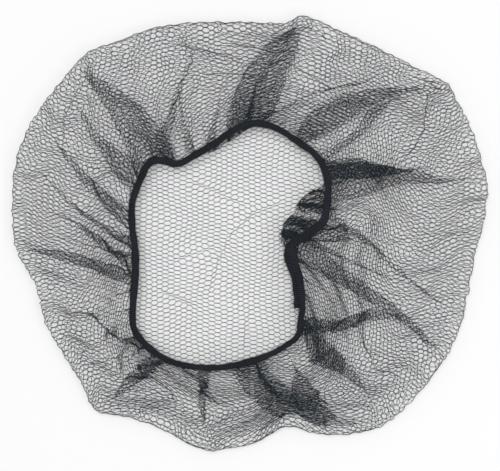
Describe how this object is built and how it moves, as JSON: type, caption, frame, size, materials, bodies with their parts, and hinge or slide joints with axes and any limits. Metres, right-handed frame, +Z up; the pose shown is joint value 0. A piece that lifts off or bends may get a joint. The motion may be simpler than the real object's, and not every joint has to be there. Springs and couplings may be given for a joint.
{
  "type": "hairnet",
  "caption": "Dark honeycomb hairnet lying on its crown with the opening up, its collar of net gathered in flat pleats onto a narrow lapped elastic band.",
  "frame": {"origin": "middle of the footprint, on the surface that the crown lies on", "axes": "+Z up, out of the opening; +X along the longer side of the footprint, to the right in the picture; +Y along the shorter side, upwards in the picture"},
  "size_m": [0.3004, 0.2744, 0.0186],
  "materials": {
    "net": "fine black nylon yarn, matt with a faint sheen",
    "elastic": "knitted near-black elastic, matt"
  },
  "bodies": {
    "root": {"net_cap": "net", "elastic_band": "elastic"}
  },
  "joints": []
}
